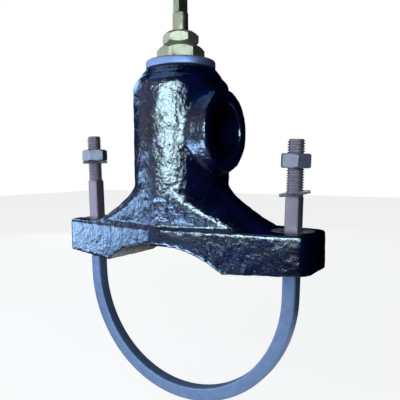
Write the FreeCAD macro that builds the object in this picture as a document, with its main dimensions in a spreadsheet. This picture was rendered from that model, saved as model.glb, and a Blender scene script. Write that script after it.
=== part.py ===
# A saddle valve for tapping a water main: a cast iron saddle with a side outlet, a screwed brass
# bonnet with its gland and spindle, the disc and seat inside, and the square bar strap with its nuts.
# Millimetres. The origin is on the axis of the main, straight below the spindle. +Z is up along the
# spindle, +X points out of the side outlet and from leg to leg of the strap, Y runs along the main.
import FreeCAD, Part
import math
import os
import Sketcher

os.makedirs("parts", exist_ok=True)
doc = FreeCAD.newDocument("SaddleValve")

# Driving dimensions
DIMENSIONS = [
    # the saddle's bar, which straddles the main
    ("seat_radius", 87.0),
    ("crown_cover", 13.0),
    ("bar_mid_half", 36.2),
    ("bar_flat_half", 5.8),
    ("bar_under", 30.5),
    ("ear_under", 27.0),
    ("ear_half", 21.5),
    ("ear_wall_left", 6.5),
    ("ear_wall_right", 10.0),
    ("ear_slope_start", 52.0),
    ("ear_corner_round", 8.0),
    ("bar_top_round", 2.5),
    ("bar_end_round", 4.0),
    # the skirt that spreads the barrel onto the bar
    ("skirt_height", 30.0),
    ("skirt_reach", 58.0),
    ("skirt_end_radius", 24.8),
    ("skirt_ridge_step", 8.0),
    ("skirt_mid_half", 34.8),
    ("skirt_flare", 1.44),
    # the barrel and its neck
    ("barrel_radius", 37.2),
    ("barrel_height", 111.5),
    ("barrel_lap", 9.0),
    ("shoulder_round", 9.0),
    ("rim_radius", 31.9),
    ("rim_step", 1.1),
    ("neck_radius", 27.0),
    ("neck_rise", 6.1),
    # the side outlet
    ("outlet_height", 69.9),
    ("boss_radius", 30.7),
    ("boss_reach", 42.0),
    ("boss_blend", 6.0),
    ("boss_edge_round", 2.5),
    ("outlet_radius", 20.6),
    ("outlet_chamfer", 1.5),
    # the waterway inside
    ("port_radius", 12.5),
    ("seat_hole_radius", 16.0),
    ("seat_hole_depth", 10.0),
    ("chamber_floor", 16.0),
    ("chamber_radius", 27.0),
    ("chamber_slope", 3.6),
    ("neck_thread_radius", 21.0),
    ("neck_thread_length", 18.0),
    # the ring that seals the saddle to the main
    ("seal_outer", 26.0),
    ("seal_inner", 15.0),
    ("seal_sink", 3.0),
    ("seal_proud", 2.5),
    ("seal_clearance", 0.3),
    ("seal_reach", 10.0),
    # the holes in the ears
    ("leg_hole_x", 92.5),
    ("leg_hole_radius", 8.0),
    ("spot_radius", 15.0),
    ("spot_depth", 0.6),
    # the seat ring
    ("seat_bore", 12.0),
    ("seat_flange_radius", 19.5),
    ("seat_flange", 3.5),
    ("seat_lip_radius", 15.5),
    ("seat_lip", 2.5),
    # the bonnet
    ("bonnet_gasket", 0.8),
    ("collar_radius", 26.75),
    ("collar_height", 6.0),
    ("collar_round", 1.2),
    ("bonnet_flats", 32.0),
    ("bonnet_hex_height", 11.0),
    ("bonnet_turn", 35.0),
    ("bonnet_corner_slope", 0.8),
    ("bonnet_edge", 1.0),
    ("bonnet_nose_radius", 14.0),
    ("bonnet_nose", 13.6),
    ("bonnet_nose_relief", 3.0),
    ("bonnet_nose_step", 2.0),
    ("screw_clearance", 0.1),
    ("fit_clearance", 0.06),
    ("stem_nut_length", 18.0),
    ("stem_relief", 8.5),
    ("stem_relief_radius", 9.0),
    ("box_floor", 3.0),
    ("box_radius", 9.5),
    # the packing and the gland
    ("packing_height", 3.4),
    ("packing_count", 3),
    ("follower_height", 4.0),
    ("gland_neck_radius", 10.0),
    ("gland_neck", 0.8),
    ("gland_flats", 24.4),
    ("gland_height", 10.5),
    ("gland_turn", 28.7),
    ("gland_edge", 2.0),
    ("gland_top_slope", 0.75),
    ("gland_under_slope", 0.7),
    # the spindle
    ("stem_radius", 6.0),
    ("stem_above_gland", 14.7),
    ("square_flats", 8.0),
    ("square_length", 15.5),
    ("square_turn", -22.0),
    ("square_point_slope", 0.6),
    ("stem_edge", 0.5),
    ("stem_thread_radius", 8.0),
    ("stem_thread_length", 26.0),
    ("stem_thread_run", 1.0),
    ("stem_foot_radius", 10.5),
    ("stem_foot", 4.0),
    ("lift", 10.0),
    # the disc
    ("disc_radius", 18.0),
    ("disc_plate", 4.5),
    ("cup_floor", 2.5),
    ("cup_radius", 15.0),
    ("cup_bore", 11.9),
    ("cup_depth", 9.0),
    ("foot_play", 0.3),
    ("disc_seal_radius", 17.0),
    ("disc_seal_height", 5.0),
    ("spigot_radius", 5.0),
    ("spigot_end", 1.9),
    ("disc_washer_radius", 10.5),
    ("disc_washer_height", 1.6),
    ("disc_nut_flats", 14.0),
    ("disc_nut_height", 6.0),
    ("locknut_flats", 26.0),
    ("locknut_hex", 4.5),
    ("locknut_bore", 7.0),
    # the strap
    ("bar_width", 10.0),
    ("bar_round", 1.2),
    ("strap_radius", 91.3),
    ("strap_centre", 55.7),
    ("strap_splay", 1.83),
    ("left_shank", 79.5),
    ("right_shank", 70.4),
    ("stud_radius", 6.0),
    ("stud_length", 39.0),
    ("stud_chamfer", 1.2),
    # the nuts and spring washers on the strap
    ("nut_flats", 19.0),
    ("nut_height", 9.8),
    ("nut_clearance", 0.05),
    ("nut_corner_slope", 0.6),
    ("nut_edge", 0.3),
    ("left_nut_rise", 17.4),
    ("right_nut_rise", 19.5),
    ("left_nut_turn", 53.0),
    ("right_nut_turn", -1.3),
    ("washer_outer", 10.7),
    ("washer_inner", 6.35),
    ("washer_height", 2.0),
    ("washer_gap", 2.2),
    ("washer_tilt", 9.0),
    ("washer_tilt_heading", 21.7),
    ("washer_rise", 2.25),
    # how far shapes run into each other, and how far cuts run past a face
    ("lap", 1.0),
    ("overcut", 5.0),
]

sheet = doc.addObject("Spreadsheet::Sheet", "Sizes")
for row, (name, number) in enumerate(DIMENSIONS, start=1):
    sheet.set("A%d" % row, name)
    sheet.set("B%d" % row, str(number))
    sheet.setAlias("B%d" % row, name)
doc.recompute()
size = dict(DIMENSIONS)

# Heights and places that several pieces share, as formulas on the driving dimensions
BAR_TOP = "(Sizes.seat_radius + Sizes.crown_cover)"
FLOOR = "(%s + Sizes.chamber_floor)" % BAR_TOP
BARREL_TOP = "(%s + Sizes.barrel_height)" % BAR_TOP
NECK_TOP = "(%s + Sizes.neck_rise)" % BARREL_TOP
OUTLET = "(%s + Sizes.outlet_height)" % BAR_TOP
SEAL_FLOOR = "(Sizes.seat_radius + Sizes.seal_sink)"
COLLAR_UNDER = "(%s + Sizes.bonnet_gasket)" % NECK_TOP
COLLAR_TOP = "(%s + Sizes.collar_height)" % COLLAR_UNDER
HEX_TOP = "(%s + Sizes.bonnet_hex_height)" % COLLAR_TOP
GLAND_UNDER = "(%s + Sizes.gland_neck)" % HEX_TOP
GLAND_TOP = "(%s + Sizes.gland_height)" % GLAND_UNDER
NECK_THREAD_UNDER = "(%s - Sizes.neck_thread_length)" % NECK_TOP
NOSE_UNDER = "(%s - Sizes.bonnet_nose)" % NECK_THREAD_UNDER
STEM_NUT_TOP = "(%s + Sizes.stem_nut_length)" % NOSE_UNDER
BACKSEAT = "(%s + Sizes.stem_relief)" % STEM_NUT_TOP
BOX_UNDER = "(%s + Sizes.box_floor)" % BACKSEAT
FOLLOWER_UNDER = "(%s + Sizes.packing_count * Sizes.packing_height)" % BOX_UNDER
FOLLOWER_TOP = "(%s + Sizes.follower_height)" % FOLLOWER_UNDER
SEAT_TOP = "(%s + Sizes.seat_flange + Sizes.seat_lip)" % FLOOR
PLATE_UNDER = "(%s + Sizes.disc_seal_height)" % SEAT_TOP
PLATE_TOP = "(%s + Sizes.disc_plate)" % PLATE_UNDER
CUP_FLOOR = "(%s + Sizes.cup_floor)" % PLATE_TOP
CUP_TOP = "(%s + Sizes.cup_depth)" % CUP_FLOOR
FOOT_UNDER = "(%s + Sizes.foot_play)" % CUP_FLOOR
FOOT_TOP = "(%s + Sizes.stem_foot)" % FOOT_UNDER
SHOULDER = "(%s + Sizes.stem_above_gland)" % GLAND_TOP
STEM_THREAD_TOP = "(%s - Sizes.lift - Sizes.stem_edge)" % BACKSEAT
STEM_BORE = "(Sizes.stem_radius + Sizes.fit_clearance)"
SPIGOT_BORE = "(Sizes.spigot_radius + Sizes.fit_clearance)"
EAR_END_LEFT = "(Sizes.leg_hole_x + Sizes.leg_hole_radius + Sizes.ear_wall_left)"
EAR_END_RIGHT = "(Sizes.leg_hole_x + Sizes.leg_hole_radius + Sizes.ear_wall_right)"


# Small helpers for sketches and features

def new_body(label):
    body = doc.addObject("PartDesign::Body", label)
    body.Label = label
    return body


def origin_plane(body, role):
    return [plane for plane in body.Origin.OriginFeatures if plane.Role == role][0]


def new_sketch(body, name, role, height=None):
    # A sketch on one of the body's own planes, lifted along its normal
    sketch = body.newObject("Sketcher::SketchObject", body.Name + "_" + name)
    sketch.AttachmentSupport = [(origin_plane(body, role), "")]
    sketch.MapMode = "FlatFace"
    if height is not None:
        sketch.setExpression("AttachmentOffset.Base.z", height)
    return sketch


def bind(sketch, kind, geometry, point, expression):
    # Ties one point of a line or arc to a signed distance from the sketch's origin
    spot = sketch.getPoint(geometry, point)
    now = spot.x if kind == "DistanceX" else spot.y
    index = sketch.addConstraint(Sketcher.Constraint(kind, -1, 1, geometry, point, now))
    sketch.setExpression("Constraints[%d]" % index, expression)


def polygon(sketch, points):
    # A closed outline of straight lines. Each corner is a pair of expressions.
    count = len(points)
    first = sketch.GeometryCount
    rough = []
    for k in range(count):
        angle = 2 * math.pi * k / count
        rough.append(FreeCAD.Vector(10 * math.cos(angle), 10 * math.sin(angle), 0))
    for k in range(count):
        sketch.addGeometry(Part.LineSegment(rough[k], rough[(k + 1) % count]))
    for k in range(count):
        sketch.addConstraint(Sketcher.Constraint("Coincident", first + k, 2, first + (k + 1) % count, 1))
    for k, (across, along) in enumerate(points):
        bind(sketch, "DistanceX", first + k, 1, across)
        bind(sketch, "DistanceY", first + k, 1, along)


def circle(sketch, radius, across="0", along="0"):
    index = sketch.addGeometry(Part.Circle(FreeCAD.Vector(1, 1, 0), FreeCAD.Vector(0, 0, 1), 5))
    row = sketch.addConstraint(Sketcher.Constraint("Radius", index, 5.0))
    sketch.setExpression("Constraints[%d]" % row, radius)
    bind(sketch, "DistanceX", index, 3, across)
    bind(sketch, "DistanceY", index, 3, along)


def hexagon_points(flats, turn):
    # Corners of a hexagon by its width across flats, turned about its middle
    points = []
    for k in range(6):
        angle = "(%s + %d)" % (turn, 60 * k - 90 + 30)
        points.append(("%s / sqrt(3) * cos(%s)" % (flats, angle), "%s / sqrt(3) * sin(%s)" % (flats, angle)))
    return points


def pad(body, name, sketch, length, midplane=False, back=False):
    feature = body.newObject("PartDesign::Pad", body.Name + "_" + name)
    feature.Profile = sketch
    feature.setExpression("Length", length)
    feature.Midplane = midplane
    feature.Reversed = back
    doc.recompute()
    return feature


def pocket(body, name, sketch, length, midplane=False, back=False):
    before = body.Shape.Volume
    feature = body.newObject("PartDesign::Pocket", body.Name + "_" + name)
    feature.Profile = sketch
    feature.setExpression("Length", length)
    feature.Midplane = midplane
    feature.Reversed = back
    doc.recompute()
    if body.Shape.Volume > before - 0.001:
        raise RuntimeError("%s cuts nothing" % feature.Name)
    return feature


def turned(body, name, points):
    # A solid turned about the sketch's upright axis
    sketch = new_sketch(body, name + "_profile", "XZ_Plane")
    polygon(sketch, points)
    feature = body.newObject("PartDesign::Revolution", body.Name + "_" + name)
    feature.Profile = sketch
    feature.ReferenceAxis = (sketch, ["V_Axis"])
    feature.Angle = 360
    doc.recompute()
    return feature


def turned_cut(body, name, points):
    before = body.Shape.Volume
    sketch = new_sketch(body, name + "_profile", "XZ_Plane")
    polygon(sketch, points)
    feature = body.newObject("PartDesign::Groove", body.Name + "_" + name)
    feature.Profile = sketch
    feature.ReferenceAxis = (sketch, ["V_Axis"])
    feature.Angle = 360
    doc.recompute()
    if body.Shape.Volume > before - 0.001:
        raise RuntimeError("%s cuts nothing" % feature.Name)
    return feature


def edges_where(body, wanted):
    # Names of the edges whose middle point passes a test
    names = []
    for index, edge in enumerate(body.Tip.Shape.Edges, start=1):
        middle = edge.valueAt((edge.FirstParameter + edge.LastParameter) / 2)
        if wanted(edge, middle):
            names.append("Edge%d" % index)
    return names


def dress(body, kind, name, edges, expression):
    # A fillet or chamfer on chosen edges
    base = body.Tip
    feature = body.newObject("PartDesign::" + kind, body.Name + "_" + name)
    feature.Base = (base, edges)
    feature.setExpression("Radius" if kind == "Fillet" else "Size", expression)
    doc.recompute()
    if "Invalid" in feature.State:
        raise RuntimeError("%s failed on %d edges" % (feature.Name, len(edges)))
    return feature


def is_ring(edge, radius, middle, height):
    curve = edge.Curve
    round_edge = isinstance(curve, Part.Circle)
    return round_edge and abs(curve.Radius - radius) < 0.01 and abs(middle.z - height) < 0.01


def number(expression):
    # The value that a shared height has now, read back through a spare cell
    sheet.set("D1", "=" + expression.replace("Sizes.", ""))
    sheet.recompute()
    return float(sheet.get("D1"))


# Saddle: one iron casting. The bar's plan is drawn by the two tangents from the barrel to the ears.
saddle = new_body("saddle_body")
plan = new_sketch(saddle, "plan", "XY_Plane", "%s - Sizes.bar_under" % BAR_TOP)
flat_right = EAR_END_RIGHT
flat_left = "-" + EAR_END_LEFT
polygon(plan, [
    ("-Sizes.bar_flat_half", "-Sizes.bar_mid_half"),
    ("Sizes.bar_flat_half", "-Sizes.bar_mid_half"),
    (flat_right, "-Sizes.ear_half"),
    (flat_right, "Sizes.ear_half"),
    ("Sizes.bar_flat_half", "Sizes.bar_mid_half"),
    ("-Sizes.bar_flat_half", "Sizes.bar_mid_half"),
    (flat_left, "Sizes.ear_half"),
    (flat_left, "-Sizes.ear_half"),
])
pad(saddle, "bar", plan, "Sizes.bar_under")
ends = edges_where(saddle, lambda edge, middle: abs(abs(middle.y) - size["ear_half"]) < 0.1
                   and abs(edge.Vertexes[0].X - edge.Vertexes[-1].X) < 0.01)
dress(saddle, "Fillet", "ear_corners", ends, "Sizes.ear_corner_round")
bar_rim = edges_where(saddle, lambda edge, middle: abs(middle.z - number(BAR_TOP)) < 0.01)
dress(saddle, "Fillet", "top_edge", bar_rim, "Sizes.bar_top_round")

# The ears' undersides rise a little towards their ends, and the arch fits over the main.
for side, reach, inner in (("right", EAR_END_RIGHT, "Sizes.ear_slope_start"),
                           ("left", "-" + EAR_END_LEFT, "-Sizes.ear_slope_start")):
    under = new_sketch(saddle, "under_" + side, "XZ_Plane")
    polygon(under, [
        (inner, "%s - Sizes.bar_under" % BAR_TOP),
        (reach, "%s - Sizes.ear_under" % BAR_TOP),
        (reach, "%s - Sizes.bar_under - Sizes.lap" % BAR_TOP),
        (inner, "%s - Sizes.bar_under - Sizes.lap" % BAR_TOP),
    ])
    pocket(saddle, "under_cut_" + side, under, "4 * Sizes.ear_half", midplane=True)

# The skirt is lofted through plans that shrink from the bar up to the round barrel. Each plan has
# four flats and two round ends, which meet the flats at an angle, so that four ridges run down.
SKIRT_STEPS = (0.0, 0.18, 0.38, 0.6, 0.8, 0.97)
skirt_plans = []
for row, step in enumerate(SKIRT_STEPS):
    share = "pow(%g; Sizes.skirt_flare)" % (1 - step)
    share_now = (1 - step) ** size["skirt_flare"]
    centre = "Sizes.skirt_reach * %s" % share
    ridge = "(Sizes.skirt_reach + Sizes.skirt_ridge_step) * %s" % share
    radius = "(Sizes.barrel_radius - (Sizes.barrel_radius - Sizes.skirt_end_radius) * %s)" % share
    ridge_half = "sqrt(pow(%s; 2) - pow(Sizes.skirt_ridge_step * %s; 2))" % (radius, share)
    middle_half = "(Sizes.barrel_radius - (Sizes.barrel_radius - Sizes.skirt_mid_half) * %s)" % share
    centre_now = size["skirt_reach"] * share_now
    ridge_now = (size["skirt_reach"] + size["skirt_ridge_step"]) * share_now
    radius_now = size["barrel_radius"] - (size["barrel_radius"] - size["skirt_end_radius"]) * share_now
    half_now = math.sqrt(radius_now ** 2 - (size["skirt_ridge_step"] * share_now) ** 2)
    middle_now = size["barrel_radius"] - (size["barrel_radius"] - size["skirt_mid_half"]) * share_now
    plan = new_sketch(saddle, "skirt_plan_%d" % row, "XY_Plane",
                      "%s - Sizes.lap + (Sizes.skirt_height + Sizes.lap) * %g" % (BAR_TOP, step))
    corners = [
        (ridge_now, -half_now, ridge, "-" + ridge_half),
        (ridge_now, half_now, ridge, ridge_half),
        (0, middle_now, "0", middle_half),
        (-ridge_now, half_now, "-" + ridge, ridge_half),
        (-ridge_now, -half_now, "-" + ridge, "-" + ridge_half),
        (0, -middle_now, "0", "-" + middle_half),
    ]
    spots = [FreeCAD.Vector(x, y, 0) for x, y, _, _ in corners]
    for k in range(6):
        start, end = spots[k], spots[(k + 1) % 6]
        if k == 0:
            outer = FreeCAD.Vector(centre_now + radius_now, 0, 0)
            plan.addGeometry(Part.Arc(start, outer, end))
        elif k == 3:
            outer = FreeCAD.Vector(-centre_now - radius_now, 0, 0)
            plan.addGeometry(Part.Arc(start, outer, end))
        else:
            plan.addGeometry(Part.LineSegment(start, end))
    for k, before, after in ((0, 5, 1), (3, 2, 4)):
        low_end = 1 if plan.getPoint(k, 1).distanceToPoint(spots[k]) < 0.01 else 2
        plan.addConstraint(Sketcher.Constraint("Coincident", before, 2, k, low_end))
        plan.addConstraint(Sketcher.Constraint("Coincident", after, 1, k, 3 - low_end))
    plan.addConstraint(Sketcher.Constraint("Coincident", 1, 2, 2, 1))
    plan.addConstraint(Sketcher.Constraint("Coincident", 4, 2, 5, 1))
    for k, point, corner in ((1, 1, 1), (2, 1, 2), (2, 2, 3), (4, 1, 4), (5, 1, 5), (5, 2, 0)):
        bind(plan, "DistanceX", k, point, corners[corner][2])
        bind(plan, "DistanceY", k, point, corners[corner][3])
    bind(plan, "DistanceX", 0, 3, centre)
    bind(plan, "DistanceX", 3, 3, "-" + centre)
    doc.recompute()
    skirt_plans.append(plan)
skirt = saddle.newObject("PartDesign::AdditiveLoft", "saddle_body_skirt")
skirt.Profile = skirt_plans[0]
skirt.Sections = skirt_plans[1:]
skirt.Ruled = False
doc.recompute()

# The barrel with its rounded shoulder, and the neck ring on top
barrel_under = "%s + Sizes.skirt_height - Sizes.barrel_lap" % BAR_TOP
turned(saddle, "barrel", [
    ("0", barrel_under),
    ("Sizes.barrel_radius", barrel_under),
    ("Sizes.barrel_radius", BARREL_TOP),
    ("0", BARREL_TOP),
])
shoulder = edges_where(saddle, lambda edge, middle: is_ring(
    edge, size["barrel_radius"], middle, number(BARREL_TOP)))
dress(saddle, "Fillet", "shoulder", shoulder, "Sizes.shoulder_round")
turned(saddle, "neck", [
    ("0", "%s - Sizes.shoulder_round" % BARREL_TOP),
    ("Sizes.rim_radius", "%s - Sizes.shoulder_round / 2" % BARREL_TOP),
    ("Sizes.rim_radius", "%s + Sizes.rim_step" % BARREL_TOP),
    ("Sizes.neck_radius", NECK_TOP),
    ("0", NECK_TOP),
])

# The side outlet's boss, blended into the barrel
boss = new_sketch(saddle, "boss_plan", "YZ_Plane")
circle(boss, "Sizes.boss_radius", "0", OUTLET)
pad(saddle, "boss", boss, "Sizes.boss_reach")
boss_face = edges_where(saddle, lambda edge, middle: isinstance(edge.Curve, Part.Circle)
                        and abs(edge.Curve.Radius - size["boss_radius"]) < 0.01
                        and abs(middle.x - size["boss_reach"]) < 0.01)
dress(saddle, "Fillet", "boss_edge", boss_face, "Sizes.boss_edge_round")
boss_root = edges_where(saddle, lambda edge, middle: not isinstance(edge.Curve, (Part.Circle, Part.Line))
                        and abs(math.hypot(middle.x, middle.y) - size["barrel_radius"]) < 0.05
                        and abs(math.hypot(middle.y, middle.z - number(OUTLET)) - size["boss_radius"]) < 0.05)
dress(saddle, "Fillet", "boss_blend", boss_root, "Sizes.boss_blend")

# The arch, the waterway, the outlet and the holes
arch = new_sketch(saddle, "arch_plan", "XZ_Plane")
circle(arch, "Sizes.seat_radius")
pocket(saddle, "arch", arch, "4 * Sizes.bar_mid_half", midplane=True)
turned_cut(saddle, "waterway", [
    ("0", "Sizes.seat_radius - Sizes.overcut"),
    ("Sizes.port_radius", "Sizes.seat_radius - Sizes.overcut"),
    ("Sizes.port_radius", "%s - Sizes.seat_hole_depth" % FLOOR),
    ("Sizes.seat_hole_radius", "%s - Sizes.seat_hole_depth" % FLOOR),
    ("Sizes.seat_hole_radius", FLOOR),
    ("Sizes.chamber_radius", FLOOR),
    ("Sizes.chamber_radius", "%s - Sizes.chamber_slope" % NECK_THREAD_UNDER),
    ("Sizes.neck_thread_radius", NECK_THREAD_UNDER),
    ("Sizes.neck_thread_radius", "%s + Sizes.overcut" % NECK_TOP),
    ("0", "%s + Sizes.overcut" % NECK_TOP),
])
outlet = new_sketch(saddle, "outlet_plan", "YZ_Plane")
circle(outlet, "Sizes.outlet_radius", "0", OUTLET)
pocket(saddle, "outlet", outlet, "2 * Sizes.boss_reach", back=True)
outlet_rim = edges_where(saddle, lambda edge, middle: isinstance(edge.Curve, Part.Circle)
                         and abs(edge.Curve.Radius - size["outlet_radius"]) < 0.01
                         and abs(middle.x - size["boss_reach"]) < 0.01)
dress(saddle, "Chamfer", "outlet_mouth", outlet_rim, "Sizes.outlet_chamfer")
seal_recess = new_sketch(saddle, "seal_recess_plan", "XY_Plane", "Sizes.seat_radius - Sizes.seal_reach")
circle(seal_recess, "Sizes.seal_outer + Sizes.seal_clearance")
pocket(saddle, "seal_recess", seal_recess, "Sizes.seal_reach + Sizes.seal_sink", back=True)
for side, sign in (("right", ""), ("left", "-")):
    hole = new_sketch(saddle, "leg_hole_plan_" + side, "XY_Plane", BAR_TOP)
    circle(hole, "Sizes.leg_hole_radius", sign + "Sizes.leg_hole_x")
    pocket(saddle, "leg_hole_" + side, hole, "2 * Sizes.bar_under")
    spot = new_sketch(saddle, "spot_plan_" + side, "XY_Plane", BAR_TOP)
    circle(spot, "Sizes.spot_radius", sign + "Sizes.leg_hole_x")
    pocket(saddle, "spot_" + side, spot, "Sizes.spot_depth")

# Seal: a rubber ring moulded to the main's curve, seated in the recess round the port
seal = new_body("saddle_seal")
turned(seal, "ring", [
    ("Sizes.seal_inner", "Sizes.seat_radius - Sizes.seal_outer"),
    ("Sizes.seal_outer", "Sizes.seat_radius - Sizes.seal_outer"),
    ("Sizes.seal_outer", SEAL_FLOOR),
    ("Sizes.seal_inner", SEAL_FLOOR),
])
main_side = new_sketch(seal, "main_plan", "XZ_Plane")
circle(main_side, "Sizes.seat_radius - Sizes.seal_proud")
pocket(seal, "main_side", main_side, "4 * Sizes.seal_outer", midplane=True)

# Seat ring: bronze, screwed into the chamber's floor
seat = new_body("seat_ring")
seat_foot = "%s - Sizes.seat_hole_depth + Sizes.screw_clearance" % FLOOR
turned(seat, "ring", [
    ("Sizes.seat_bore", seat_foot),
    ("Sizes.seat_hole_radius - Sizes.screw_clearance", seat_foot),
    ("Sizes.seat_hole_radius - Sizes.screw_clearance", FLOOR),
    ("Sizes.seat_flange_radius", FLOOR),
    ("Sizes.seat_flange_radius", "%s + Sizes.seat_flange" % FLOOR),
    ("Sizes.seat_lip_radius", "%s + Sizes.seat_flange" % FLOOR),
    ("Sizes.seat_lip_radius", SEAT_TOP),
    ("Sizes.seat_bore", SEAT_TOP),
])

# Bonnet gasket between the neck and the bonnet's collar
gasket = new_body("bonnet_gasket")
turned(gasket, "ring", [
    ("Sizes.neck_thread_radius", NECK_TOP),
    ("Sizes.neck_radius - Sizes.lap", NECK_TOP),
    ("Sizes.neck_radius - Sizes.lap", COLLAR_UNDER),
    ("Sizes.neck_thread_radius", COLLAR_UNDER),
])


def hex_corner_cut(body, name, flats, face, upward, steepness, start):
    # Turns the hexagon's corners off at a slope. start is the radius where the slope leaves the face.
    sign = "-" if upward else "+"
    beyond = "(%s * 0.7)" % flats
    turned_cut(body, name, [
        (start, face),
        (beyond, face),
        (beyond, "%s %s (%s - %s) * %s" % (face, sign, beyond, start, steepness)),
    ])


# Bonnet: turned from brass bar, with a round collar and a hexagon
bonnet = new_body("bonnet")
screw_radius = "(Sizes.neck_thread_radius - Sizes.screw_clearance)"
turned(bonnet, "barrel", [
    ("0", NOSE_UNDER),
    ("Sizes.bonnet_nose_radius", NOSE_UNDER),
    ("Sizes.bonnet_nose_radius", "%s - Sizes.bonnet_nose_relief" % NECK_THREAD_UNDER),
    (screw_radius, "%s + Sizes.bonnet_nose_step" % NECK_THREAD_UNDER),
    (screw_radius, COLLAR_UNDER),
    ("Sizes.collar_radius", COLLAR_UNDER),
    ("Sizes.collar_radius", COLLAR_TOP),
    ("0", COLLAR_TOP),
])
collar_edge = edges_where(bonnet, lambda edge, middle: is_ring(
    edge, size["collar_radius"], middle, number(COLLAR_TOP)))
dress(bonnet, "Fillet", "collar_edge", collar_edge, "Sizes.collar_round")
bonnet_hex = new_sketch(bonnet, "hex_plan", "XY_Plane", "%s - Sizes.lap" % COLLAR_TOP)
polygon(bonnet_hex, hexagon_points("Sizes.bonnet_flats", "Sizes.bonnet_turn"))
pad(bonnet, "hex", bonnet_hex, "Sizes.bonnet_hex_height + Sizes.lap")
hex_corner_cut(bonnet, "hex_corners", "Sizes.bonnet_flats", HEX_TOP, True, "Sizes.bonnet_corner_slope",
               "(Sizes.bonnet_flats / 2 - Sizes.bonnet_edge)")
turned_cut(bonnet, "bore", [
    ("0", "%s - Sizes.lap" % NOSE_UNDER),
    ("Sizes.stem_thread_radius + Sizes.fit_clearance", "%s - Sizes.lap" % NOSE_UNDER),
    ("Sizes.stem_thread_radius + Sizes.fit_clearance", STEM_NUT_TOP),
    ("Sizes.stem_relief_radius", STEM_NUT_TOP),
    ("Sizes.stem_relief_radius", BACKSEAT),
    (STEM_BORE, BACKSEAT),
    (STEM_BORE, BOX_UNDER),
    ("Sizes.box_radius", BOX_UNDER),
    ("Sizes.box_radius", "%s + Sizes.lap" % HEX_TOP),
    ("0", "%s + Sizes.lap" % HEX_TOP),
])

# Packing rings in the stuffing box
for k in range(int(size["packing_count"])):
    ring = new_body("packing_ring_%d" % (k + 1))
    under = "%s + %d * Sizes.packing_height" % (BOX_UNDER, k)
    top = "%s + %d * Sizes.packing_height" % (BOX_UNDER, k + 1)
    turned(ring, "ring", [
        (STEM_BORE, under),
        ("Sizes.box_radius - Sizes.screw_clearance", under),
        ("Sizes.box_radius - Sizes.screw_clearance", top),
        (STEM_BORE, top),
    ])

# Gland follower: a brass ring that presses on the packing
follower = new_body("gland_follower")
turned(follower, "ring", [
    (STEM_BORE, FOLLOWER_UNDER),
    ("Sizes.box_radius - Sizes.screw_clearance", FOLLOWER_UNDER),
    ("Sizes.box_radius - Sizes.screw_clearance", FOLLOWER_TOP),
    (STEM_BORE, FOLLOWER_TOP),
])

# Gland nut: a brass hexagon with a screwed shank, its corners turned off above and below
gland = new_body("gland_nut")
turned(gland, "shank", [
    ("0", FOLLOWER_TOP),
    ("Sizes.box_radius - Sizes.screw_clearance", FOLLOWER_TOP),
    ("Sizes.box_radius - Sizes.screw_clearance", HEX_TOP),
    ("Sizes.gland_neck_radius", HEX_TOP),
    ("Sizes.gland_neck_radius", "%s + Sizes.lap" % GLAND_UNDER),
    ("0", "%s + Sizes.lap" % GLAND_UNDER),
])
gland_hex = new_sketch(gland, "hex_plan", "XY_Plane", GLAND_UNDER)
polygon(gland_hex, hexagon_points("Sizes.gland_flats", "Sizes.gland_turn"))
pad(gland, "hex", gland_hex, "Sizes.gland_height")
hex_corner_cut(gland, "upper_corners", "Sizes.gland_flats", GLAND_TOP, True, "Sizes.gland_top_slope",
               "(Sizes.gland_flats / 2 - Sizes.gland_edge)")
hex_corner_cut(gland, "lower_corners", "Sizes.gland_flats", GLAND_UNDER, False, "Sizes.gland_under_slope",
               "Sizes.gland_neck_radius")
turned_cut(gland, "bore", [
    ("0", "%s - Sizes.lap" % FOLLOWER_TOP),
    (STEM_BORE, "%s - Sizes.lap" % FOLLOWER_TOP),
    (STEM_BORE, "%s + Sizes.lap" % GLAND_TOP),
    ("0", "%s + Sizes.lap" % GLAND_TOP),
])

# Stem: brass spindle with a foot for the disc, a threaded middle and a squared end
stem = new_body("stem")
turned(stem, "spindle", [
    ("0", FOOT_UNDER),
    ("Sizes.stem_foot_radius", FOOT_UNDER),
    ("Sizes.stem_foot_radius", FOOT_TOP),
    ("Sizes.stem_radius", FOOT_TOP),
    ("Sizes.stem_radius", "%s - Sizes.stem_thread_length" % STEM_THREAD_TOP),
    ("Sizes.stem_thread_radius", "%s - Sizes.stem_thread_length + Sizes.stem_thread_run" % STEM_THREAD_TOP),
    ("Sizes.stem_thread_radius", STEM_THREAD_TOP),
    ("Sizes.stem_radius", STEM_THREAD_TOP),
    ("Sizes.stem_radius", "%s - Sizes.stem_edge" % SHOULDER),
    ("Sizes.stem_radius - Sizes.stem_edge", SHOULDER),
    ("0", SHOULDER),
])
square = new_sketch(stem, "square_plan", "XY_Plane", "%s - Sizes.lap" % SHOULDER)
square_points = []
for k in range(4):
    corner_angle = "(Sizes.square_turn + %d)" % (90 * k + 45)
    square_points.append(("Sizes.square_flats / sqrt(2) * cos(%s)" % corner_angle,
                          "Sizes.square_flats / sqrt(2) * sin(%s)" % corner_angle))
polygon(square, square_points)
pad(stem, "square", square, "Sizes.square_length + Sizes.lap")
stem_top = "(%s + Sizes.square_length)" % SHOULDER
turned_cut(stem, "square_end", [
    ("Sizes.square_flats / 2", stem_top),
    ("Sizes.square_flats", stem_top),
    ("Sizes.square_flats", "%s - Sizes.square_flats / 2 * Sizes.square_point_slope" % stem_top),
])

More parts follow.
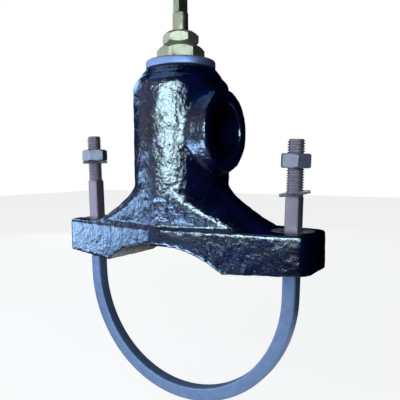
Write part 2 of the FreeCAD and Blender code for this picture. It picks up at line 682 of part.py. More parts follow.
# Valve disc: the brass holder, whose cup takes the stem's foot and whose spigot carries the seal
disc = new_body("valve_disc")
turned(disc, "holder", [
    ("0", "%s - Sizes.disc_seal_height - Sizes.disc_washer_height - Sizes.disc_nut_height - Sizes.spigot_end"
     % PLATE_UNDER),
    ("Sizes.spigot_radius", "%s - Sizes.disc_seal_height - Sizes.disc_washer_height - Sizes.disc_nut_height"
     " - Sizes.spigot_end" % PLATE_UNDER),
    ("Sizes.spigot_radius", PLATE_UNDER),
    ("Sizes.disc_radius", PLATE_UNDER),
    ("Sizes.disc_radius", PLATE_TOP),
    ("Sizes.cup_radius", PLATE_TOP),
    ("Sizes.cup_radius", CUP_TOP),
    ("Sizes.cup_bore", CUP_TOP),
    ("Sizes.cup_bore", CUP_FLOOR),
    ("0", CUP_FLOOR),
])

# Disc locknut: screwed into the cup over the stem's foot
locknut = new_body("disc_locknut")
turned(locknut, "sleeve", [
    ("Sizes.locknut_bore", "%s + Sizes.foot_play" % FOOT_TOP),
    ("Sizes.cup_bore - Sizes.screw_clearance", "%s + Sizes.foot_play" % FOOT_TOP),
    ("Sizes.cup_bore - Sizes.screw_clearance", "%s + Sizes.lap" % CUP_TOP),
    ("Sizes.locknut_bore", "%s + Sizes.lap" % CUP_TOP),
])
locknut_hex = new_sketch(locknut, "hex_plan", "XY_Plane", CUP_TOP)
polygon(locknut_hex, hexagon_points("Sizes.locknut_flats", "0"))
circle(locknut_hex, "Sizes.locknut_bore")
pad(locknut, "hex", locknut_hex, "Sizes.locknut_hex")

# Disc seal, its washer and its nut on the spigot
disc_seal = new_body("disc_seal")
turned(disc_seal, "ring", [
    (SPIGOT_BORE, SEAT_TOP),
    ("Sizes.disc_seal_radius", SEAT_TOP),
    ("Sizes.disc_seal_radius", PLATE_UNDER),
    (SPIGOT_BORE, PLATE_UNDER),
])
disc_washer = new_body("disc_washer")
turned(disc_washer, "ring", [
    (SPIGOT_BORE, "%s - Sizes.disc_washer_height" % SEAT_TOP),
    ("Sizes.disc_washer_radius", "%s - Sizes.disc_washer_height" % SEAT_TOP),
    ("Sizes.disc_washer_radius", SEAT_TOP),
    (SPIGOT_BORE, SEAT_TOP),
])
disc_nut = new_body("disc_nut")
disc_nut_hex = new_sketch(disc_nut, "hex_plan", "XY_Plane",
                          "%s - Sizes.disc_washer_height - Sizes.disc_nut_height" % SEAT_TOP)
polygon(disc_nut_hex, hexagon_points("Sizes.disc_nut_flats", "0"))
circle(disc_nut_hex, SPIGOT_BORE)
pad(disc_nut, "hex", disc_nut_hex, "Sizes.disc_nut_height")

# Strap: square bar bent to a half ring, with a round stud turned on each end. Each sketch stands
# square to the bar where the ring meets the leg, and the ring is swept about the ring's own axis.
strap = new_body("u_bolt")


def leaning_sketch(name, sign, along="0"):
    # A sketch square to one leg, at a distance along it from the ring's centre line
    sketch = new_sketch(strap, name, "XY_Plane")
    sketch.AttachmentOffset = FreeCAD.Placement(FreeCAD.Vector(0, 0, 0), FreeCAD.Rotation(FreeCAD.Vector(0, 1, 0), 1))
    sketch.setExpression("AttachmentOffset.Rotation.Angle", "%s1 * Sizes.strap_splay" % sign)
    sketch.setExpression("AttachmentOffset.Base.x", "%s1 * (%s) * sin(Sizes.strap_splay)" % (sign, along))
    sketch.setExpression("AttachmentOffset.Base.z", "Sizes.strap_centre + (%s) * cos(Sizes.strap_splay)" % along)
    return sketch


def bar_section(sketch, sign):
    inner = "%s1 * (Sizes.strap_radius - Sizes.bar_width / 2)" % sign
    outer = "%s1 * (Sizes.strap_radius + Sizes.bar_width / 2)" % sign
    polygon(sketch, [
        (inner, "-Sizes.bar_width / 2"),
        (outer, "-Sizes.bar_width / 2"),
        (outer, "Sizes.bar_width / 2"),
        (inner, "Sizes.bar_width / 2"),
    ])


right_section = leaning_sketch("right_section", "")
bar_section(right_section, "")
pad(strap, "right_leg", right_section, "Sizes.right_shank")
ring_section = leaning_sketch("ring_section", "")
bar_section(ring_section, "")
half_ring = strap.newObject("PartDesign::Revolution", "u_bolt_half_ring")
half_ring.Profile = ring_section
half_ring.ReferenceAxis = (ring_section, ["V_Axis"])
half_ring.setExpression("Angle", "180 - 2 * Sizes.strap_splay")
doc.recompute()
left_section = leaning_sketch("left_section", "-")
bar_section(left_section, "-")
pad(strap, "left_leg", left_section, "Sizes.left_shank")
half_bar = size["bar_width"] / 2
long_edges = edges_where(strap, lambda edge, middle: abs(abs(middle.y) - half_bar) < 0.01 and edge.Length > 20)
dress(strap, "Fillet", "bar_edges", long_edges, "Sizes.bar_round")
for side, sign, shank in (("right", "", "Sizes.right_shank"), ("left", "-", "Sizes.left_shank")):
    stud = leaning_sketch("stud_plan_" + side, sign, shank)
    circle(stud, "Sizes.stud_radius", "%s1 * Sizes.strap_radius" % sign)
    pad(strap, "stud_" + side, stud, "Sizes.stud_length")
stud_tops = edges_where(strap, lambda edge, middle: isinstance(edge.Curve, Part.Circle)
                        and abs(edge.Curve.Radius - size["stud_radius"]) < 0.01
                        and middle.z > size["strap_centre"] + size["right_shank"] + size["stud_length"] - 5)
dress(strap, "Chamfer", "stud_tops", stud_tops, "Sizes.stud_chamfer")


def on_leg(body, side, along):
    # Stands a body on a leg's centre line, leaning with the leg
    sign = 1 if side == "right" else -1
    body.Placement = FreeCAD.Placement(FreeCAD.Vector(0, 0, 0), FreeCAD.Rotation(FreeCAD.Vector(0, 1, 0), sign))
    body.setExpression("Placement.Rotation.Angle", "%d * Sizes.strap_splay" % sign)
    body.setExpression("Placement.Base.x", "%d * (Sizes.strap_radius * cos(Sizes.strap_splay)"
                       " + (%s) * sin(Sizes.strap_splay))" % (sign, along))
    body.setExpression("Placement.Base.z", "Sizes.strap_centre - Sizes.strap_radius * sin(Sizes.strap_splay)"
                       " + (%s) * cos(Sizes.strap_splay)" % along)
    doc.recompute()


# Hexagon nuts on the studs
nut_bore = "(Sizes.stud_radius + Sizes.nut_clearance)"
for side, turn, along in (
        ("left", "Sizes.left_nut_turn", "Sizes.left_shank + Sizes.left_nut_rise"),
        ("right", "Sizes.right_nut_turn", "Sizes.right_shank + Sizes.right_nut_rise")):
    nut = new_body("hex_nut_" + side)
    nut_plan = new_sketch(nut, "hex_plan", "XY_Plane")
    polygon(nut_plan, hexagon_points("Sizes.nut_flats", turn))
    pad(nut, "hex", nut_plan, "Sizes.nut_height")
    for name, face, upward in (("upper", "Sizes.nut_height", True), ("lower", "0", False)):
        hex_corner_cut(nut, name + "_corners", "Sizes.nut_flats", face, upward, "Sizes.nut_corner_slope",
                       "(Sizes.nut_flats / 2 - Sizes.nut_edge)")
    turned_cut(nut, "bore", [
        ("0", "-Sizes.lap"),
        (nut_bore, "-Sizes.lap"),
        (nut_bore, "Sizes.nut_height + Sizes.lap"),
        ("0", "Sizes.nut_height + Sizes.lap"),
    ])
    on_leg(nut, side, along)

# Spring washers: split rings. The left one is under its nut, the right one is slack and askew.
for side in ("left", "right"):
    washer = new_body("spring_washer_" + side)
    washer_plan = new_sketch(washer, "ring_plan", "XY_Plane")
    circle(washer_plan, "Sizes.washer_outer")
    circle(washer_plan, "Sizes.washer_inner")
    pad(washer, "ring", washer_plan, "Sizes.washer_height")
    split = new_sketch(washer, "split_plan", "XZ_Plane")
    polygon(split, [
        ("-Sizes.washer_gap / 2 - Sizes.washer_height / 2", "0"),
        ("Sizes.washer_gap / 2 - Sizes.washer_height / 2", "0"),
        ("Sizes.washer_gap / 2 + Sizes.washer_height / 2", "Sizes.washer_height"),
        ("-Sizes.washer_gap / 2 + Sizes.washer_height / 2", "Sizes.washer_height"),
    ])
    pocket(washer, "split", split, "2 * Sizes.washer_outer", back=True)
    if side == "left":
        on_leg(washer, side, "Sizes.left_shank + Sizes.left_nut_rise - Sizes.washer_height")
    else:
        on_leg(washer, side, "Sizes.right_shank + Sizes.washer_rise - Sizes.washer_height / 2")

# The slack washer leans about a level line that heads towards the front right.
askew = doc.getObject("spring_washer_right")
heading = math.radians(size["washer_tilt_heading"])
lean_axis = FreeCAD.Vector(math.sin(heading), -math.cos(heading), 0)
lean = FreeCAD.Rotation(lean_axis, size["washer_tilt"])
upright = askew.Placement
askew.setExpression("Placement.Rotation.Angle", None)
middle_of_washer = upright.multVec(FreeCAD.Vector(0, 0, size["washer_height"] / 2))
leaned = lean.multiply(upright.Rotation)
for axis_name in ("x", "z"):
    askew.setExpression("Placement.Base." + axis_name, None)
askew.Placement = FreeCAD.Placement(
    middle_of_washer - leaned.multVec(FreeCAD.Vector(0, 0, size["washer_height"] / 2)), leaned)
sheet.clear("D1")
doc.recompute()

# Every piece is checked before anything is written.
for thing in doc.Objects:
    if "Invalid" in thing.State or "Error" in thing.State:
        raise RuntimeError("%s failed" % thing.Name)
bodies = [thing for thing in doc.Objects if thing.TypeId == "PartDesign::Body"]
for body in bodies:
    if body.Shape.isNull() or not body.Shape.isValid() or len(body.Shape.Solids) != 1:
        raise RuntimeError("%s is not one sound solid" % body.Label)
for body in bodies:
    body.Shape.exportStep("parts/%s.step" % body.Label)
    print("%-20s %9.1f mm3" % (body.Label, body.Shape.Volume))
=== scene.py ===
import bmesh
import bpy
import math
from mathutils import Matrix, Vector, noise


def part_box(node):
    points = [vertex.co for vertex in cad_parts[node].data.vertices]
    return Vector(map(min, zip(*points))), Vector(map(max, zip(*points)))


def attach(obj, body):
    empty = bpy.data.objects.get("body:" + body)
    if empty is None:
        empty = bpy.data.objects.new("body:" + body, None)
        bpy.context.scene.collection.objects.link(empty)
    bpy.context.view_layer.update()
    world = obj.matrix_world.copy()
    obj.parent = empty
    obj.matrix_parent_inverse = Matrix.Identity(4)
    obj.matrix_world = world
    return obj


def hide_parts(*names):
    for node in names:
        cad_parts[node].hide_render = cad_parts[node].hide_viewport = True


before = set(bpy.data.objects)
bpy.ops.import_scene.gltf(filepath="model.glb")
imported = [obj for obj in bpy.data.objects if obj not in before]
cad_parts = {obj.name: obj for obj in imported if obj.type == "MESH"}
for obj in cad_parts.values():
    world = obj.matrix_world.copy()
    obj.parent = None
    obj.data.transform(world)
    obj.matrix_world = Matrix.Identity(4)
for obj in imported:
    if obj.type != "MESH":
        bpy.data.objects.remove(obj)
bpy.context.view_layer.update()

# The photograph's camera stands in front of the valve and to its right, at the height of the skirt, and
# looks slightly down. Its place and turns were fitted to the strap's legs, the ears and the barrel.
CAMERA_PLACE = Vector((0.2152, -0.3054, 0.1436))
CAMERA_HEADING = math.radians(33.005)
CAMERA_DIP = math.radians(3.951)
CAMERA_ROLL = math.radians(-0.367)
SENSOR_WIDTH = 36.0
FOCAL_PIXELS = 475.0
FRAME_PIXELS = 400.0
scene = bpy.context.scene
scene.view_settings.view_transform = "Standard"
camera_data = bpy.data.cameras.new("camera")
camera_data.sensor_width = SENSOR_WIDTH
camera_data.lens = SENSOR_WIDTH * FOCAL_PIXELS / FRAME_PIXELS
camera_data.clip_start = 0.01
camera = bpy.data.objects.new("camera", camera_data)
camera.matrix_world = (Matrix.Translation(CAMERA_PLACE)
                       @ Matrix.Rotation(CAMERA_HEADING, 4, "Z")
                       @ Matrix.Rotation(math.pi / 2 - CAMERA_DIP, 4, "X")
                       @ Matrix.Rotation(CAMERA_ROLL, 4, "Z"))
scene.collection.objects.link(camera)
scene.camera = camera

# The floor is pale and matt, and takes the valve's shadow. It lies just below the place that the strap
# slides down to, so the valve stands over it as if held on its main. To the camera and in what the gloss
# and the metals mirror it also glows, nearly white.
STRAP_DROP = 0.022
FLOOR_GAP = STRAP_DROP + 0.001
FLOOR_HALF = 3.0
FLOOR_GLOW = 0.85


def linear(hex_code):
    # An sRGB hex colour as the linear colour that a shader takes
    channels = [int(hex_code[k:k + 2], 16) / 255 for k in (0, 2, 4)]
    return [c / 12.92 if c <= 0.04045 else ((c + 0.055) / 1.055) ** 2.4 for c in channels] + [1.0]


def add_node(tree, kind, inputs=(), **settings):
    # One shader node with its settings. An input that is a socket is linked, any other is set.
    made = tree.nodes.new(kind)
    for name, value in settings.items():
        setattr(made, name, value)
    for socket, value in dict(inputs).items():
        if isinstance(value, bpy.types.NodeSocket):
            tree.links.new(value, made.inputs[socket])
        else:
            made.inputs[socket].default_value = value
    return made


def new_tree(name):
    # An empty node material and the output it ends in
    material = bpy.data.materials.new(name)
    material.use_nodes = True
    tree = material.node_tree
    tree.nodes.clear()
    return material, tree, tree.nodes.new("ShaderNodeOutputMaterial")


def seen_or_mirrored(tree):
    # 1 for rays from the camera, off a gloss or through glass, and 0 for those that only carry light
    rays = add_node(tree, "ShaderNodeLightPath")
    from_camera = rays.outputs["Is Camera Ray"]
    off_gloss = rays.outputs["Is Glossy Ray"]
    through_glass = rays.outputs["Is Transmission Ray"]
    either = add_node(tree, "ShaderNodeMath", {0: from_camera, 1: off_gloss}, operation="MAXIMUM")
    seen = add_node(tree, "ShaderNodeMath", {0: either.outputs[0], 1: through_glass}, operation="MAXIMUM")
    return seen.outputs[0]


def keep(bm, name):
    # Writes a finished mesh to an object of its own
    mesh = bpy.data.meshes.new(name)
    bm.to_mesh(mesh)
    bm.free()
    piece = bpy.data.objects.new(name, mesh)
    scene.collection.objects.link(piece)
    return piece


floor_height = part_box("u_bolt")[0].z - FLOOR_GAP
floor_bm = bmesh.new()
bmesh.ops.create_grid(floor_bm, x_segments=1, y_segments=1, size=FLOOR_HALF)
bmesh.ops.translate(floor_bm, verts=floor_bm.verts, vec=(0, 0, floor_height))
floor = keep(floor_bm, "floor")
floor_material, tree, output = new_tree("pale floor")
seen = seen_or_mirrored(tree)
matt = add_node(tree, "ShaderNodeBsdfDiffuse", {"Color": linear("8c8e90")})
glow = add_node(tree, "ShaderNodeEmission", {"Color": linear("ffffff"), "Strength": FLOOR_GLOW})
bright = add_node(tree, "ShaderNodeAddShader", {0: matt.outputs[0], 1: glow.outputs[0]})
mix = add_node(tree, "ShaderNodeMixShader", {0: seen, 1: matt.outputs[0], 2: bright.outputs[0]})
tree.links.new(mix.outputs[0], output.inputs["Surface"])
floor.data.materials.append(floor_material)

# The room is white to the camera and in what the gloss and the metals mirror. As light it is dim, so that
# the lamps shape the valve.
ROOM_LIGHT = 0.05
world = bpy.data.worlds.new("studio")
world.use_nodes = True
scene.world = world
tree = world.node_tree
tree.nodes.clear()
output = tree.nodes.new("ShaderNodeOutputWorld")
seen = seen_or_mirrored(tree)
dim = add_node(tree, "ShaderNodeBackground", {"Color": linear("e6f0ff"), "Strength": ROOM_LIGHT})
white = add_node(tree, "ShaderNodeBackground", {"Color": linear("ffffff"), "Strength": 1.0})
mix = add_node(tree, "ShaderNodeMixShader", {0: seen, 1: dim.outputs[0], 2: white.outputs[0]})
tree.links.new(mix.outputs[0], output.inputs["Surface"])

# Black wool cloth hangs round the studio's right and back, covers its top and lies on the floor. The gloss
# and the metals mirror it as their dark sides. The camera looks through it, and it takes no light away.
CLOTH_RADIUS = 1.3
CLOTH_NEAR = 0.25
CLOTH_HIGH = 1.5
CLOTH_START = math.radians(20.0)
CLOTH_TURN = math.radians(262.0)
CLOTH_LIFT = 0.0005
CANOPY_SPREAD = 1.2
CANOPY_GAP = 0.01
cloth_foot = floor_height + CLOTH_LIFT
cloth_bm = bmesh.new()


def hang_cloth(fold, start, turn, steps):
    # Spins a fold, given as distances from the valve and heights, through a part of a circle
    line = [cloth_bm.verts.new((0, -across, height)) for across, height in fold]
    hem = [cloth_bm.edges.new(pair) for pair in zip(line, line[1:])]
    bmesh.ops.rotate(cloth_bm, verts=line, cent=(0, 0, 0), matrix=Matrix.Rotation(start, 3, "Z"))
    bmesh.ops.spin(cloth_bm, geom=line + hem, cent=(0, 0, 0), axis=(0, 0, 1), angle=turn, steps=steps)


laid = [(CLOTH_NEAR, cloth_foot), (CLOTH_RADIUS, cloth_foot)]
hang_cloth(laid + [(CLOTH_RADIUS, CLOTH_HIGH)], CLOTH_START, CLOTH_TURN, steps=48)
hang_cloth(laid, CLOTH_START + CLOTH_TURN, 2 * math.pi - CLOTH_TURN, steps=16)
bmesh.ops.create_circle(cloth_bm, cap_ends=True, segments=64, radius=CLOTH_RADIUS * CANOPY_SPREAD,
                        matrix=Matrix.Translation((0, 0, CLOTH_HIGH + CANOPY_GAP)))
cloth = keep(cloth_bm, "black_cloth")
cloth_material, tree, output = new_tree("black cloth")
wool = add_node(tree, "ShaderNodeBsdfDiffuse", {"Color": linear("050505")})
tree.links.new(wool.outputs[0], output.inputs["Surface"])
cloth.data.materials.append(cloth_material)
cloth.visible_camera = False
cloth.visible_diffuse = False
cloth.visible_shadow = False
cloth.visible_transmission = False

# The lamps are flat soft boxes. Two light everything and aren't mirrored: a wide window in front and a
# smaller lamp at the back. Each of the others is mirrored only by the paint or only by the bare metals,
# where it draws the bright places that windows, walls and a table leave in the photograph.
paint_only = bpy.data.collections.new("painted pieces")
metal_only = bpy.data.collections.new("bare metal pieces")


def softbox(name, heading, distance, low, high, width, radiance, colour, mirrored_by=None, lean=0.0):
    # A rectangular lamp at a heading in degrees from the front, with its edges at two heights. It faces
    # the valve's upright axis, turned down by a lean in degrees.
    data = bpy.data.lights.new(name, "AREA")
    data.shape = "RECTANGLE"
    data.size = width
    data.size_y = high - low
    data.energy = radiance * math.pi * width * (high - low)
    data.color = linear(colour)[:3]
    lamp = bpy.data.objects.new(name, data)
    angle = math.radians(heading)
    place = Vector((math.sin(angle) * distance, -math.cos(angle) * distance, (low + high) / 2))
    facing = Vector((-place.x, -place.y, -math.tan(math.radians(lean)) * distance))
    lamp.matrix_world = Matrix.Translation(place) @ facing.to_track_quat("-Z", "Y").to_matrix().to_4x4()
    lamp.visible_camera = False
    if mirrored_by:
        lamp.visible_diffuse = False
        lamp.light_linking.receiver_collection = mirrored_by
    else:
        lamp.visible_glossy = False
    scene.collection.objects.link(lamp)


softbox("window", heading=-12.0, distance=1.0, low=0.0, high=0.95, width=1.9,
        radiance=2.5, colour="e2f0ff", lean=15.0)
softbox("back left", heading=-140.0, distance=1.2, low=0.0, high=0.9, width=0.8,
        radiance=1.2, colour="e6f5e6")
softbox("window in the metal", heading=43.0, distance=0.9, low=0.15, high=0.7, width=0.8,
        radiance=4.0, colour="e6f6ff", mirrored_by=metal_only)
softbox("left window in the metal", heading=-45.0, distance=0.7, low=-0.1, high=0.25, width=0.5,
        radiance=3.0, colour="d0e4ff", mirrored_by=metal_only)
softbox("left wall in the metal", heading=-95.0, distance=0.9, low=0.2, high=0.75, width=0.5,
        radiance=1.3, colour="e0f4ff", mirrored_by=metal_only)
softbox("front window in the paint", heading=5.0, distance=0.85, low=0.15, high=0.40, width=0.62,
        radiance=74.0, colour="d0f4ff", mirrored_by=paint_only)
softbox("table edge in the paint", heading=-66.0, distance=0.66, low=-0.035, high=0.095, width=0.42,
        radiance=21.0, colour="a0ccff", mirrored_by=paint_only)
softbox("left wall in the paint", heading=-102.0, distance=0.8, low=0.34, high=0.6, width=0.6,
        radiance=6.0, colour="a0ccff", mirrored_by=paint_only)
softbox("ceiling in the paint", heading=-70.0, distance=0.4, low=0.8, high=1.4, width=0.7,
        radiance=3.0, colour="9cc4ff", mirrored_by=paint_only, lean=68.0)
softbox("table in the paint", heading=-26.0, distance=0.30, low=-0.104, high=0.016, width=0.14,
        radiance=90.0, colour="a0ccff", mirrored_by=paint_only, lean=-84.0)

# The casting is one piece of grey iron, cast in sand and dipped in bitumen paint while warm. The paint runs
# over the grain of the sand, so the surface is lumpy and glossy. Only the spot faces round the strap's
# holes, the neck's and the port's faces and the outlet's thread are machined smooth.
VOXEL = 0.0012
LUMP_SIZE = 0.0085
LUMP_HEIGHT = 0.00042
SMALL_LUMPS = 2.1
SMALL_LUMP_SHARE = 0.5
GRAIN_SIZE = 0.0026
GRAIN_HEIGHT = 0.00013
SMALL_GRAINS = 2.3
SMALL_GRAIN_SHARE = 0.6
SINK = 0.00042
BAR_TOP = 0.1
BAR_FADE_FROM = BAR_TOP + 0.004
BAR_FADE = 0.006
LUMPS_LOST_ON_BAR = 0.45
GRAIN_SHARE = 0.5
GRAIN_ADDED_ON_BAR = 0.3
LEG_HOLE_X = 0.0925
SPOT_RADIUS = 0.015
OUTLET_FROM = 0.02
OUTLET_HEIGHT = 0.1699
OUTLET_BORE = 0.0206
OUTLET_LIP = 0.001
NECK_FACE_FROM = 0.215
PORT_FACE_TO = 0.105
FACE_RADIUS = 0.028
MACHINED_FADE = 0.003
ROUGH_FROM = 0.5


def machined(spot):
    # How far a point is from the machined places, from 0 on them to 1 clear of them
    from_leg = math.hypot(abs(spot.x) - LEG_HOLE_X, spot.y) - SPOT_RADIUS
    from_bore = math.hypot(spot.y, spot.z - OUTLET_HEIGHT) - OUTLET_BORE - OUTLET_LIP
    if spot.x < OUTLET_FROM:
        from_bore = 1.0
    from_axis = math.hypot(spot.x, spot.y) - FACE_RADIUS
    if PORT_FACE_TO <= spot.z <= NECK_FACE_FROM:
        from_axis = 1.0
    return max(0.0, min(1.0, min(from_leg, from_bore, from_axis) / MACHINED_FADE))


cast_bm = bmesh.new()
cast_bm.from_mesh(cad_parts["saddle_body"].data)
bmesh.ops.remove_doubles(cast_bm, verts=cast_bm.verts, dist=0.00001)
casting = keep(cast_bm, "casting")
remesh = casting.modifiers.new("remesh", "REMESH")
remesh.mode = "VOXEL"
remesh.voxel_size = VOXEL
remesh.use_smooth_shade = True
bpy.context.view_layer.update()
remeshed = bpy.data.meshes.new_from_object(casting.evaluated_get(bpy.context.evaluated_depsgraph_get()))
casting.modifiers.clear()
casting.data = remeshed
cast_bm = bmesh.new()
cast_bm.from_mesh(casting.data)
rough = [vert for vert in cast_bm.verts if machined(vert.co) > ROUGH_FROM]
bmesh.ops.smooth_vert(cast_bm, verts=rough, factor=0.5, use_axis_x=True, use_axis_y=True, use_axis_z=True)
cast_bm.normal_update()
moves = []
for vert in cast_bm.verts:
    spot = vert.co
    on_bar = max(0.0, min(1.0, (BAR_FADE_FROM - spot.z) / BAR_FADE))
    lump = noise.noise(spot / LUMP_SIZE)
    lump += SMALL_LUMP_SHARE * noise.noise(spot / LUMP_SIZE * SMALL_LUMPS)
    grain = noise.noise(spot / GRAIN_SIZE)
    grain += SMALL_GRAIN_SHARE * noise.noise(spot / GRAIN_SIZE * SMALL_GRAINS)
    lump_height = LUMP_HEIGHT * lump * (1 - LUMPS_LOST_ON_BAR * on_bar)
    grain_height = GRAIN_HEIGHT * grain * (GRAIN_SHARE + GRAIN_ADDED_ON_BAR * on_bar)
    moves.append(vert.normal * (lump_height + grain_height - SINK) * machined(spot))
for vert, move in zip(cast_bm.verts, moves):
    vert.co += move
for face in cast_bm.faces:
    face.smooth = True
cast_bm.to_mesh(casting.data)
cast_bm.free()

# Bitumen paint is black with a little blue in it, in darker and paler drifts some 17 mm across, and gives
# hard reflections. The sand's grain shows through as bumps of 2.3 mm with specks of half a millimetre on
# them. The bumps are lower on the bar, and lowest on its right half.
DRIFTS_PER_METRE = 60.0
GRAINS_PER_METRE = 430.0
SPECKS_PER_METRE = 2200.0
BAR_LEFT = -0.05
BAR_EDGE = 0.003
PAINT_LAP = 0.0004
SPOT_DEPTH = 0.0016
paint, tree, output = new_tree("bitumen paint on cast iron")
place = add_node(tree, "ShaderNodeTexCoord").outputs["Object"]
grain = add_node(tree, "ShaderNodeTexNoise", {"Vector": place, "Scale": GRAINS_PER_METRE, "Detail": 4.0})
speck = add_node(tree, "ShaderNodeTexNoise", {"Vector": place, "Scale": SPECKS_PER_METRE, "Detail": 2.0})
drift = add_node(tree, "ShaderNodeTexNoise", {"Vector": place, "Scale": DRIFTS_PER_METRE, "Detail": 3.0})
tone = add_node(tree, "ShaderNodeValToRGB", {"Fac": drift.outputs[0]})
tone.color_ramp.elements[0].position = 0.35
tone.color_ramp.elements[0].color = linear("030820")
tone.color_ramp.elements[1].position = 0.7
tone.color_ramp.elements[1].color = linear("09184a")
gloss = add_node(tree, "ShaderNodeMapRange", {
    "Value": speck.outputs[0], "From Min": 0.3, "From Max": 0.7, "To Min": 0.1, "To Max": 0.22})
spot = add_node(tree, "ShaderNodeSeparateXYZ", {"Vector": place})
along_bar = add_node(tree, "ShaderNodeMapRange", {
    "Value": spot.outputs["X"], "From Min": BAR_LEFT, "From Max": 0.0, "To Min": 0.9, "To Max": 0.45})
off_bar = add_node(tree, "ShaderNodeMapRange", {
    "Value": spot.outputs["Z"], "From Min": BAR_TOP - BAR_EDGE, "From Max": BAR_TOP,
    "To Min": along_bar.outputs[0], "To Max": 1.0})
relief = add_node(tree, "ShaderNodeMath", {0: grain.outputs[0], 1: off_bar.outputs[0]}, operation="MULTIPLY")
rough_bump = add_node(tree, "ShaderNodeBump", {
    "Height": relief.outputs[0], "Strength": 0.55, "Distance": 0.0009})
fine_bump = add_node(tree, "ShaderNodeBump", {
    "Height": speck.outputs[0], "Strength": 0.18, "Distance": 0.0003, "Normal": rough_bump.outputs[0]})
skin = add_node(tree, "ShaderNodeBsdfPrincipled", {
    "Base Color": tone.outputs[0], "Roughness": gloss.outputs[0], "IOR": 1.5, "Specular IOR Level": 0.3,
    "Normal": fine_bump.outputs[0]})

# The spot faces were milled through the paint, so inside their circles at the bar's top the grey iron is
# bare and duller.
bare = add_node(tree, "ShaderNodeBsdfPrincipled", {
    "Base Color": linear("9a9a98"), "Metallic": 0.9, "Roughness": 0.42, "Normal": fine_bump.outputs[0]})
side = add_node(tree, "ShaderNodeMath", {0: spot.outputs["X"]}, operation="ABSOLUTE")
across = add_node(tree, "ShaderNodeMath", {0: side.outputs[0], 1: LEG_HOLE_X}, operation="SUBTRACT")
from_hole = add_node(tree, "ShaderNodeCombineXYZ", {"X": across.outputs[0], "Y": spot.outputs["Y"]})
radius = add_node(tree, "ShaderNodeVectorMath", {0: from_hole.outputs[0]}, operation="LENGTH")
inside = add_node(tree, "ShaderNodeMath", {0: radius.outputs["Value"], 1: SPOT_RADIUS - PAINT_LAP},
                  operation="LESS_THAN")
above = add_node(tree, "ShaderNodeMath", {0: spot.outputs["Z"], 1: BAR_TOP - SPOT_DEPTH},
                 operation="GREATER_THAN")
below = add_node(tree, "ShaderNodeMath", {0: spot.outputs["Z"], 1: BAR_TOP + PAINT_LAP},
                 operation="LESS_THAN")
level = add_node(tree, "ShaderNodeMath", {0: above.outputs[0], 1: below.outputs[0]}, operation="MULTIPLY")
milled = add_node(tree, "ShaderNodeMath", {0: inside.outputs[0], 1: level.outputs[0]}, operation="MULTIPLY")
mix = add_node(tree, "ShaderNodeMixShader", {0: milled.outputs[0], 1: skin.outputs[0], 2: bare.outputs[0]})
tree.links.new(mix.outputs[0], output.inputs["Surface"])
casting.data.materials.clear()
casting.data.materials.append(paint)
paint_only.objects.link(casting)
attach(casting, "root")
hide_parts("saddle_body")


# The strap is 10 mm square steel bar bent hot to a half ring, with an M12 thread cut on each end. It is
# galvanised, gone dull, with rust blooming on the legs.
SPLAY = math.radians(1.83)
RING_RADIUS = 0.0913
RING_CENTRE = 0.0557
RING_STEPS = 72
BAR = 0.010
BAR_ROUND = 0.0013
LEFT_SHANK = 0.0795
RIGHT_SHANK = 0.0704
LEG_STEPS = 16
STUD_LENGTH = 0.039
PITCH = 0.00175
CREST = 0.00597
ROOT = 0.00500
THREAD_FORM = ((ROOT, 0.0), (ROOT, 0.18), (CREST, 0.44), (CREST, 0.62), (ROOT, 0.88), (ROOT, 1.0))
STEPS_PER_TURN = 28
END_TAPER = 0.0013
RUN_OUT = 0.0035
RUN_OUT_SINK = 0.0001
STUD_CORE = 0.001
LEGS_FROM = 0.09
LEGS_FADE = 0.004


def on_leg(sign, along):
    # The upright frame of a leg, on its centre line at a distance above the bend
    foot = Vector((sign * RING_RADIUS * math.cos(SPLAY), 0, RING_CENTRE - RING_RADIUS * math.sin(SPLAY)))
    lean = Matrix.Rotation(sign * SPLAY, 4, "Y")
    return Matrix.Translation(foot) @ lean @ Matrix.Translation((0, 0, along))


def draw_leg(end, along, capped):
    # Draws the bar's end face out along a leg in short steps. A capped leg keeps a face at its start.
    for step in range(LEG_STEPS):
        grown = bmesh.ops.extrude_face_region(bar_bm, geom=end, use_keep_orig=capped and step == 0)["geom"]
        end = [item for item in grown if isinstance(item, bmesh.types.BMFace)]
        corners = [item for item in grown if isinstance(item, bmesh.types.BMVert)]
        bmesh.ops.translate(bar_bm, verts=corners, vec=along / LEG_STEPS)
    return end


def join(bm, other):
    # Adds a second mesh to the first and frees it
    spare = bpy.data.meshes.new("spare")
    other.to_mesh(spare)
    other.free()
    bm.from_mesh(spare)
    bpy.data.meshes.remove(spare)


